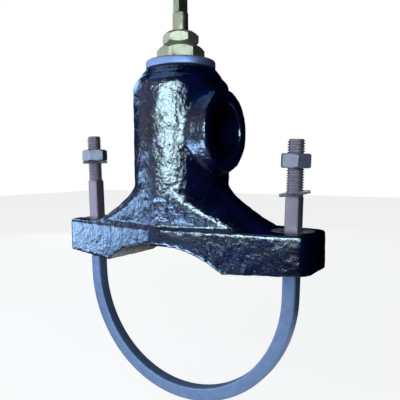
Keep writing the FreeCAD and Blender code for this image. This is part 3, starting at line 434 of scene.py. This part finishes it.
def cut_stud(sign, shank):
    # A screw: one pitch of the thread's outline is spun up the stud, then both ends are cut square. The
    # crest tapers off at the top, and the root runs out where the thread meets the square bar.
    stud = bmesh.new()
    turns = math.ceil(STUD_LENGTH / PITCH) + 2
    verts = [stud.verts.new((radius, 0, (share - 1) * PITCH)) for radius, share in THREAD_FORM]
    edges = [stud.edges.new(pair) for pair in zip(verts, verts[1:])]
    rise = Vector((0, 0, PITCH / STEPS_PER_TURN))
    bmesh.ops.spin(stud, geom=verts + edges, cent=(0, 0, 0), axis=(0, 0, 1), dvec=rise,
                   angle=2 * math.pi * turns, steps=STEPS_PER_TURN * turns)
    bmesh.ops.remove_doubles(stud, verts=stud.verts, dist=0.00002)
    for height, facing in ((0.0, -1), (STUD_LENGTH, 1)):
        everything = stud.verts[:] + stud.edges[:] + stud.faces[:]
        cut = bmesh.ops.bisect_plane(stud, geom=everything, plane_co=(0, 0, height), plane_no=(0, 0, facing),
                                     clear_outer=True)["geom_cut"]
        rim = [item for item in cut if isinstance(item, bmesh.types.BMEdge)]
        bmesh.ops.holes_fill(stud, edges=rim)
    for vert in stud.verts:
        reach = math.hypot(vert.co.x, vert.co.y)
        widest = CREST - max(0.0, vert.co.z - (STUD_LENGTH - END_TAPER))
        narrowest = CREST * min(1.0, max(0.0, 1 - vert.co.z / RUN_OUT)) - RUN_OUT_SINK
        wanted = max(min(reach, widest), min(narrowest, CREST))
        if reach > STUD_CORE:
            vert.co.x *= wanted / reach
            vert.co.y *= wanted / reach
    bmesh.ops.recalc_face_normals(stud, faces=stud.faces)
    bmesh.ops.transform(stud, matrix=on_leg(sign, shank), verts=stud.verts)
    join(bar_bm, stud)


def smooth_by_angle(piece, degrees=32):
    # Smooth shading that keeps edges sharper than an angle
    mesh = piece.data
    for polygon in mesh.polygons:
        polygon.use_smooth = True
    mesh.set_sharp_from_angle(angle=math.radians(degrees))


bar_bm = bmesh.new()
bmesh.ops.create_grid(bar_bm, x_segments=1, y_segments=1, size=BAR / 2)
bmesh.ops.bevel(bar_bm, geom=bar_bm.verts[:], offset=BAR_ROUND, offset_type="OFFSET", affect="VERTICES",
                segments=4, profile=0.5, material=-1)
bmesh.ops.transform(bar_bm, matrix=on_leg(1, RIGHT_SHANK), verts=bar_bm.verts)
down = on_leg(1, 0).to_3x3() @ Vector((0, 0, -1))
end = draw_leg(bar_bm.faces[:], down * RIGHT_SHANK, capped=True)
sides = [edge for face in end for edge in face.edges]
corners = [vert for face in end for vert in face.verts]
turned = bmesh.ops.spin(bar_bm, geom=end + sides + corners, cent=(0, 0, RING_CENTRE), axis=(0, 1, 0),
                        angle=math.pi - 2 * SPLAY, steps=RING_STEPS, use_duplicate=False)["geom_last"]
end = [item for item in turned if isinstance(item, bmesh.types.BMFace)]
up = on_leg(-1, 0).to_3x3() @ Vector((0, 0, 1))
draw_leg(end, up * LEFT_SHANK, capped=False)
bmesh.ops.remove_doubles(bar_bm, verts=bar_bm.verts, dist=0.00002)
bmesh.ops.recalc_face_normals(bar_bm, faces=bar_bm.faces)
cut_stud(1, RIGHT_SHANK)
cut_stud(-1, LEFT_SHANK)
strap = keep(bar_bm, "strap")
smooth_by_angle(strap)

# Zinc on drawn or forged steel is grey, with paler and darker clouds some 6 mm across and a grain of about
# half a millimetre that dulls its shine. Where the zinc has gone it rusts, and the rust has no shine.
ZINC_CLOUDS_PER_METRE = 160.0
RUST_PER_METRE = 75.0
RUST_FROM = 0.62
RUST_FULL = 0.78


def steel(name, pale, dark, rust, rust_share, roughness, grain_per_metre, legs=None):
    # Zinc coated steel. Above the bar the strap's legs take a browner tone of their own.
    material, tree, output = new_tree(name)
    place = add_node(tree, "ShaderNodeTexCoord").outputs["Object"]
    cloud = add_node(tree, "ShaderNodeTexNoise", {
        "Vector": place, "Scale": ZINC_CLOUDS_PER_METRE, "Detail": 5.0})
    bloom = add_node(tree, "ShaderNodeTexNoise", {
        "Vector": place, "Scale": RUST_PER_METRE, "Detail": 6.0, "Roughness": 0.65})
    fine = add_node(tree, "ShaderNodeTexNoise", {"Vector": place, "Scale": grain_per_metre, "Detail": 3.0})
    tone = add_node(tree, "ShaderNodeMix", {0: cloud.outputs[0], 6: linear(dark), 7: linear(pale)},
                    data_type="RGBA")
    if legs:
        height = add_node(tree, "ShaderNodeSeparateXYZ", {"Vector": place}).outputs["Z"]
        above = add_node(tree, "ShaderNodeMapRange", {
            "Value": height, "From Min": LEGS_FROM - LEGS_FADE, "From Max": LEGS_FROM + LEGS_FADE,
            "To Max": 0.8})
        tone = add_node(tree, "ShaderNodeMix", {0: above.outputs[0], 6: tone.outputs[2], 7: linear(legs)},
                        data_type="RGBA")
    spread = add_node(tree, "ShaderNodeMapRange", {
        "Value": bloom.outputs[0], "From Min": RUST_FROM - rust_share, "From Max": RUST_FULL - rust_share})
    colour = add_node(tree, "ShaderNodeMix", {0: spread.outputs[0], 6: tone.outputs[2], 7: linear(rust)},
                      data_type="RGBA")
    sheen = add_node(tree, "ShaderNodeMapRange", {
        "Value": fine.outputs[0], "From Min": 0.3, "From Max": 0.7,
        "To Min": roughness - 0.1, "To Max": roughness + 0.15})
    shine = add_node(tree, "ShaderNodeMapRange", {"Value": spread.outputs[0], "To Min": 0.45, "To Max": 0.1})
    bump = add_node(tree, "ShaderNodeBump", {"Height": fine.outputs[0], "Strength": 0.3, "Distance": 0.0002})
    shader = add_node(tree, "ShaderNodeBsdfPrincipled", {
        "Base Color": colour.outputs[2], "Metallic": shine.outputs[0], "Roughness": sheen.outputs[0],
        "Normal": bump.outputs[0]})
    tree.links.new(shader.outputs[0], output.inputs["Surface"])
    return material


strap.data.materials.append(steel("galvanised bar", pale="88a2ca", dark="647ea8", rust="7c6058",
                                  rust_share=-0.03, roughness=0.45, grain_per_metre=1500.0, legs="97868c"))
metal_only.objects.link(strap)
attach(strap, "strap")
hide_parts("u_bolt")


# The nuts are M12 hexagons of zinc plated steel, 19 mm across flats, turned with a chamfer of 30 degrees on
# both faces. The left one is screwed down on its washer, and the right one is loose on its stud.
NUT_FLATS = 0.019
NUT_HEIGHT = 0.0098
NUT_BORE = 0.00605
NUT_EDGE = 0.0003
LEFT_NUT_ALONG = 0.0969
LEFT_NUT_TURN = 53.0
RIGHT_NUT_ALONG = 0.0899
RIGHT_NUT_TURN = -1.3
BLANK_REACH = 0.62
HEXAGON_LIP = 0.0004


def from_front(degrees):
    # The angle of a flat that faces so many degrees from straight ahead
    return math.radians(degrees) - math.pi / 2


def turn_blank(outline, steps=96):
    # A solid turned from an outline of radius and height pairs, which is a closed loop off the axis
    bm = bmesh.new()
    verts = [bm.verts.new((radius, 0, height)) for radius, height in outline]
    edges = [bm.edges.new((verts[k], verts[(k + 1) % len(verts)])) for k in range(len(verts))]
    bmesh.ops.spin(bm, geom=verts + edges, cent=(0, 0, 0), axis=(0, 0, 1), angle=2 * math.pi, steps=steps,
                   use_merge=True, use_duplicate=False)
    bmesh.ops.remove_doubles(bm, verts=bm.verts, dist=0.000001)
    bmesh.ops.recalc_face_normals(bm, faces=bm.faces)
    return bm


def cut_flats(bm, count, flats, turn):
    # Mills flats on a turned blank: each plane takes off what is outside it
    for k in range(count):
        angle = turn + 2 * math.pi * k / count
        facing = Vector((math.cos(angle), math.sin(angle), 0))
        everything = bm.verts[:] + bm.edges[:] + bm.faces[:]
        cut = bmesh.ops.bisect_plane(bm, geom=everything, plane_co=facing * flats / 2, plane_no=facing,
                                     clear_outer=True)["geom_cut"]
        bmesh.ops.holes_fill(bm, edges=[item for item in cut if isinstance(item, bmesh.types.BMEdge)])


def hexagon(flats, low, high, bore, turn, low_slope=0.6, high_slope=0.6, low_start=None, high_start=None):
    # A hexagon with its corners turned off at both faces, from a start radius outwards at a slope. Its
    # blank reaches past the corners.
    widest = flats * BLANK_REACH
    low_start = low_start or flats / 2 - HEXAGON_LIP
    high_start = high_start or flats / 2 - HEXAGON_LIP
    bm = turn_blank([
        (bore, low + HEXAGON_LIP), (bore + HEXAGON_LIP, low), (low_start, low),
        (widest, low + (widest - low_start) * low_slope),
        (widest, high - (widest - high_start) * high_slope),
        (high_start, high), (bore + HEXAGON_LIP, high), (bore, high - HEXAGON_LIP)])
    cut_flats(bm, 6, flats, turn)
    return bm


def soften(piece, width, degrees=32):
    # A small round on every edge, which catches the light
    smooth_by_angle(piece, degrees)
    bevel = piece.modifiers.new("edge rounds", "BEVEL")
    bevel.width = width
    bevel.segments = 2
    bevel.limit_method = "ANGLE"
    bevel.angle_limit = math.radians(degrees)


nut_steel = steel("zinc plated nut", pale="a2a9ba", dark="787f92", rust="6a5a50",
                  rust_share=-0.02, roughness=0.36, grain_per_metre=1800.0)
for side, sign, along, turn in (("left", -1, LEFT_NUT_ALONG, LEFT_NUT_TURN),
                                ("right", 1, RIGHT_NUT_ALONG, RIGHT_NUT_TURN)):
    nut_bm = hexagon(NUT_FLATS, 0.0, NUT_HEIGHT, NUT_BORE, from_front(turn))
    bmesh.ops.transform(nut_bm, matrix=on_leg(sign, along), verts=nut_bm.verts)
    nut = keep(nut_bm, "nut_" + side)
    soften(nut, NUT_EDGE)
    nut.data.materials.append(nut_steel)
    metal_only.objects.link(nut)
    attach(nut, "nut_" + side)
    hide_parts("hex_nut_" + side)


# The spring washers are square steel wire coiled to one turn and cut, so that the ends stand a little
# apart, and plated with bright zinc. The left one is flat under its nut. The right one is slack and leans
# across the leg.
WASHER_INNER = 0.00635
WASHER_OUTER = 0.0107
WASHER_HEIGHT = 0.002
WASHER_RISE = 0.00225
WASHER_EDGE = 0.00025
WASHER_GAP = math.radians(12)
WASHER_LEAN = math.radians(9)
WASHER_HEADING = math.radians(21.7)
washer_steel = steel("bright zinc washer", pale="e6eaf0", dark="b4bac4", rust="7a6a60",
                     rust_share=-0.05, roughness=0.28, grain_per_metre=1800.0)
for side, sign, along in (("left", -1, LEFT_NUT_ALONG - WASHER_HEIGHT),
                          ("right", 1, RIGHT_SHANK + WASHER_RISE)):
    wire = bmesh.new()
    bmesh.ops.create_grid(wire, x_segments=1, y_segments=1, size=0.5)
    bmesh.ops.scale(wire, vec=(WASHER_OUTER - WASHER_INNER, WASHER_HEIGHT, 1), verts=wire.verts)
    bmesh.ops.rotate(wire, cent=(0, 0, 0), matrix=Matrix.Rotation(math.pi / 2, 3, "X"), verts=wire.verts)
    bmesh.ops.translate(wire, verts=wire.verts, vec=((WASHER_OUTER + WASHER_INNER) / 2, 0, 0))
    first_end = Matrix.Rotation(WASHER_GAP / 2 - math.pi / 2, 3, "Z")
    bmesh.ops.rotate(wire, cent=(0, 0, 0), matrix=first_end, verts=wire.verts)
    bmesh.ops.spin(wire, geom=wire.verts[:] + wire.edges[:] + wire.faces[:], cent=(0, 0, 0), axis=(0, 0, 1),
                   angle=2 * math.pi - WASHER_GAP, steps=64, use_duplicate=True)
    bmesh.ops.remove_doubles(wire, verts=wire.verts, dist=0.00001)
    bmesh.ops.recalc_face_normals(wire, faces=wire.faces)
    if side == "left":
        bmesh.ops.translate(wire, verts=wire.verts, vec=(0, 0, WASHER_HEIGHT / 2))
        bmesh.ops.transform(wire, matrix=on_leg(sign, along), verts=wire.verts)
    else:
        upright = on_leg(sign, along)
        hinge = Vector((math.sin(WASHER_HEADING), -math.cos(WASHER_HEADING), 0))
        lean = Matrix.Rotation(WASHER_LEAN, 4, hinge)
        placed = Matrix.Translation(upright.translation) @ lean @ upright.to_3x3().to_4x4()
        bmesh.ops.transform(wire, matrix=placed, verts=wire.verts)
    washer = keep(wire, "washer_" + side)
    soften(washer, WASHER_EDGE)
    washer.data.materials.append(washer_steel)
    metal_only.objects.link(washer)
    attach(washer, "washer_" + side)
    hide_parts("spring_washer_" + side)


# The bonnet is turned from a brass bar, with a round collar that pulls down on the neck and a hexagon for
# the spanner. Its screwed shank hides in the neck, and its nose guides the spindle.
COLLAR_UNDER = 0.2184
COLLAR_TOP = 0.2244
COLLAR_RADIUS = 0.02675
COLLAR_LIP = 0.0004
COLLAR_FOOT = 0.0005
COLLAR_ROUND = 0.0012
HEX_SINK = 0.0003
HEX_TOP = 0.2354
BONNET_FLATS = 0.032
BONNET_TURN = 35.0
BONNET_EDGE = 0.0004
BOX_RADIUS = 0.0095
BOX_FLOOR = 0.2155
SHANK_RADIUS = 0.0209
SHANK_UNDER = 0.1996
SHANK_LEAD = 0.002
SHANK_LEAD_UNDER = 0.003
NOSE_UNDER = 0.186
NOSE_RADIUS = 0.014
STEM_BORE = 0.00806
collar_bm = turn_blank([
    (STEM_BORE, NOSE_UNDER), (NOSE_RADIUS, NOSE_UNDER), (NOSE_RADIUS, SHANK_UNDER - SHANK_LEAD_UNDER),
    (SHANK_RADIUS, SHANK_UNDER + SHANK_LEAD), (SHANK_RADIUS, COLLAR_UNDER),
    (COLLAR_RADIUS - COLLAR_LIP, COLLAR_UNDER), (COLLAR_RADIUS, COLLAR_UNDER + COLLAR_FOOT),
    (COLLAR_RADIUS, COLLAR_TOP - COLLAR_ROUND), (COLLAR_RADIUS - COLLAR_LIP, COLLAR_TOP - COLLAR_LIP),
    (COLLAR_RADIUS - COLLAR_ROUND, COLLAR_TOP), (BOX_RADIUS, COLLAR_TOP), (BOX_RADIUS, BOX_FLOOR),
    (STEM_BORE, BOX_FLOOR)], steps=128)
join(collar_bm, hexagon(BONNET_FLATS, COLLAR_TOP - HEX_SINK, HEX_TOP, BOX_RADIUS, from_front(BONNET_TURN),
                        low_slope=0.0, high_slope=0.8, low_start=0.0155, high_start=0.015))
bonnet = keep(collar_bm, "bonnet_brass")
soften(bonnet, BONNET_EDGE)

# Brass and bronze go dull and greenish grey, with clouds some 8 mm across and brown stains of 5 mm that
# are rougher. Turned faces keep the lathe's rings, drawn 0.8 mm apart so that they show, and the others a
# fine grain. The collar and what is below it are coloured pale blue, which is a painted reflection of
# bluish light.
BRASS_CLOUDS_PER_METRE = 130.0
STAINS_PER_METRE = 210.0
BRASS_GRAIN_PER_METRE = 2500.0
LATHE_RINGS = 400.0
STAIN_FROM = 0.66
STAIN_FULL = 0.8


def brass(name, pale, dark, stain, stain_share, roughness, turned=0.0, painted_blue_reflection=None, metallic=0.6):
    # Dulled brass or bronze. A painted blue reflection colours what is below the bonnet's hexagon.
    material, tree, output = new_tree(name)
    place = add_node(tree, "ShaderNodeTexCoord").outputs["Object"]
    cloud = add_node(tree, "ShaderNodeTexNoise", {
        "Vector": place, "Scale": BRASS_CLOUDS_PER_METRE, "Detail": 5.0})
    spots = add_node(tree, "ShaderNodeTexNoise", {
        "Vector": place, "Scale": STAINS_PER_METRE, "Detail": 6.0, "Roughness": 0.7})
    fine = add_node(tree, "ShaderNodeTexNoise", {
        "Vector": place, "Scale": BRASS_GRAIN_PER_METRE, "Detail": 2.0})
    tone = add_node(tree, "ShaderNodeMix", {0: cloud.outputs[0], 6: linear(dark), 7: linear(pale)},
                    data_type="RGBA")
    spread = add_node(tree, "ShaderNodeMapRange", {
        "Value": spots.outputs[0], "From Min": STAIN_FROM - stain_share,
        "From Max": STAIN_FULL - stain_share, "To Max": 0.85})
    colour = add_node(tree, "ShaderNodeMix", {0: spread.outputs[0], 6: tone.outputs[2], 7: linear(stain)},
                      data_type="RGBA")
    if painted_blue_reflection:
        height = add_node(tree, "ShaderNodeSeparateXYZ", {"Vector": place}).outputs["Z"]
        below = add_node(tree, "ShaderNodeMath", {0: height, 1: COLLAR_TOP - HEX_SINK},
                         operation="LESS_THAN")
        colour = add_node(tree, "ShaderNodeMix", {
            0: below.outputs[0], 6: colour.outputs[2], 7: linear(painted_blue_reflection)}, data_type="RGBA")
    rings = add_node(tree, "ShaderNodeTexWave", {"Vector": place, "Scale": LATHE_RINGS, "Distortion": 0.6},
                     wave_type="BANDS", bands_direction="Z")
    marks = add_node(tree, "ShaderNodeMix", {0: turned, 2: fine.outputs[0], 3: rings.outputs["Fac"]},
                     data_type="FLOAT")
    sheen = add_node(tree, "ShaderNodeMapRange", {
        "Value": spots.outputs[0], "From Min": 0.3, "From Max": 0.7,
        "To Min": roughness - 0.08, "To Max": roughness + 0.2})
    bump = add_node(tree, "ShaderNodeBump", {
        "Height": marks.outputs[0], "Strength": 0.15, "Distance": 0.00015})
    shader = add_node(tree, "ShaderNodeBsdfPrincipled", {
        "Base Color": colour.outputs[2], "Metallic": metallic, "Roughness": sheen.outputs[0],
        "Normal": bump.outputs[0]})
    tree.links.new(shader.outputs[0], output.inputs["Surface"])
    return material


# Below its hexagon the bonnet's colour is a painted reflection of bluish light.
bonnet.data.materials.append(brass("dulled bonnet brass", pale="bcc0a8", dark="8f937c", stain="5c3a2a",
                                   stain_share=0.1, roughness=0.38, painted_blue_reflection="8aa6dc"))
metal_only.objects.link(bonnet)
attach(bonnet, "root")
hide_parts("bonnet")


# The gland nut is a turned brass hexagon, its corners taken off on both faces. Its shank screws into the
# bonnet and presses the packing down on the spindle.
GLAND_UNDER = 0.2362
GLAND_TOP = 0.2467
GLAND_FLATS = 0.0244
GLAND_TURN = 28.7
GLAND_EDGE = 0.0004
GLAND_NECK = 0.010
GLAND_SHANK = 0.0094
GLAND_OVERLAP = 0.0003
FOLLOWER_TOP = 0.2297
SHAFT_BORE = 0.00606
gland_bm = hexagon(GLAND_FLATS, GLAND_UNDER, GLAND_TOP, SHAFT_BORE, from_front(GLAND_TURN),
                   low_slope=0.7, high_slope=0.75, low_start=GLAND_NECK, high_start=0.0102)
join(gland_bm, turn_blank([
    (SHAFT_BORE, FOLLOWER_TOP), (GLAND_SHANK, FOLLOWER_TOP), (GLAND_SHANK, HEX_TOP), (GLAND_NECK, HEX_TOP),
    (GLAND_NECK, GLAND_UNDER + GLAND_OVERLAP), (SHAFT_BORE, GLAND_UNDER + GLAND_OVERLAP)]))
gland = keep(gland_bm, "gland_brass")
soften(gland, GLAND_EDGE)
gland.data.materials.append(brass("dulled gland brass", pale="d0d4bc", dark="a2a68c", stain="5a4424",
                                  stain_share=0.06, roughness=0.34))
metal_only.objects.link(gland)
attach(gland, "root")
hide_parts("gland_nut")


# The spindle is turned from bronze, with a foot that carries the disc, a screwed middle that works in the
# bonnet and a squared end for the key. The key has worn the square's corners round.
SHOULDER = 0.2614
SQUARE = 0.008
CORNER_WEAR = 0.0009
SPINDLE_EDGE = 0.0003
UPRIGHT_SHARE = 0.95
stem_bm = bmesh.new()
stem_bm.from_mesh(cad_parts["stem"].data)
bmesh.ops.remove_doubles(stem_bm, verts=stem_bm.verts, dist=0.00001)
bmesh.ops.dissolve_limit(stem_bm, angle_limit=math.radians(0.5), verts=stem_bm.verts, edges=stem_bm.edges)
corners = []
for edge in stem_bm.edges:
    foot, head = sorted(vert.co.z for vert in edge.verts)
    length = edge.calc_length()
    if length > SQUARE / 2 and foot > SHOULDER and head - foot > UPRIGHT_SHARE * length:
        corners.append(edge)
bmesh.ops.bevel(stem_bm, geom=corners, offset=CORNER_WEAR, offset_type="OFFSET", affect="EDGES", segments=4,
                profile=0.5, material=-1)
stem = keep(stem_bm, "spindle")
soften(stem, SPINDLE_EDGE)
stem.data.materials.append(brass("turned spindle bronze", pale="c0c5ae", dark="8a8f78", stain="4c4430",
                                 stain_share=0.02, roughness=0.2, turned=0.3, metallic=0.9))
metal_only.objects.link(stem)
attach(stem, "stem")
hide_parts("stem")


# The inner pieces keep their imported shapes: the bronze seat ring, follower and disc with its nuts, the
# rubber disc seal and saddle ring, the plaited packing and the fibre gasket. Rubber, fibre and greased
# packing are dull, with a tone that changes from grain to grain.
def dress(names, material):
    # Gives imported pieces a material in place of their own
    for name in names:
        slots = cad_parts[name].data.materials
        slots.clear()
        slots.append(material)


def soft_material(name, pale, dark, per_metre, roughness):
    # Rubber, fibre or packing, with so many grains to the metre
    material, tree, output = new_tree(name)
    place = add_node(tree, "ShaderNodeTexCoord").outputs["Object"]
    cloud = add_node(tree, "ShaderNodeTexNoise", {"Vector": place, "Scale": per_metre, "Detail": 4.0})
    tone = add_node(tree, "ShaderNodeMix", {0: cloud.outputs[0], 6: linear(dark), 7: linear(pale)},
                    data_type="RGBA")
    bump = add_node(tree, "ShaderNodeBump", {
        "Height": cloud.outputs[0], "Strength": 0.3, "Distance": 0.0002})
    shader = add_node(tree, "ShaderNodeBsdfPrincipled", {
        "Base Color": tone.outputs[2], "Roughness": roughness, "Specular IOR Level": 0.12,
        "Normal": bump.outputs[0]})
    tree.links.new(shader.outputs[0], output.inputs["Surface"])
    return material


dress(("seat_ring", "gland_follower", "valve_disc", "disc_locknut", "disc_washer", "disc_nut"),
      brass("inner bronze", pale="c79b5a", dark="8a6230", stain="4a3018",
            stain_share=0.04, roughness=0.35, turned=0.6))
dress(("saddle_seal", "disc_seal"),
      soft_material("moulded rubber", pale="2b2b2d", dark="151516", per_metre=900.0, roughness=0.6))
dress(("bonnet_gasket",),
      soft_material("pressed fibre", pale="3c2a26", dark="241a18", per_metre=1400.0, roughness=0.7))
dress(("packing_ring_1", "packing_ring_2", "packing_ring_3"),
      soft_material("greased packing", pale="8e856a", dark="5f573f", per_metre=1000.0, roughness=0.55))
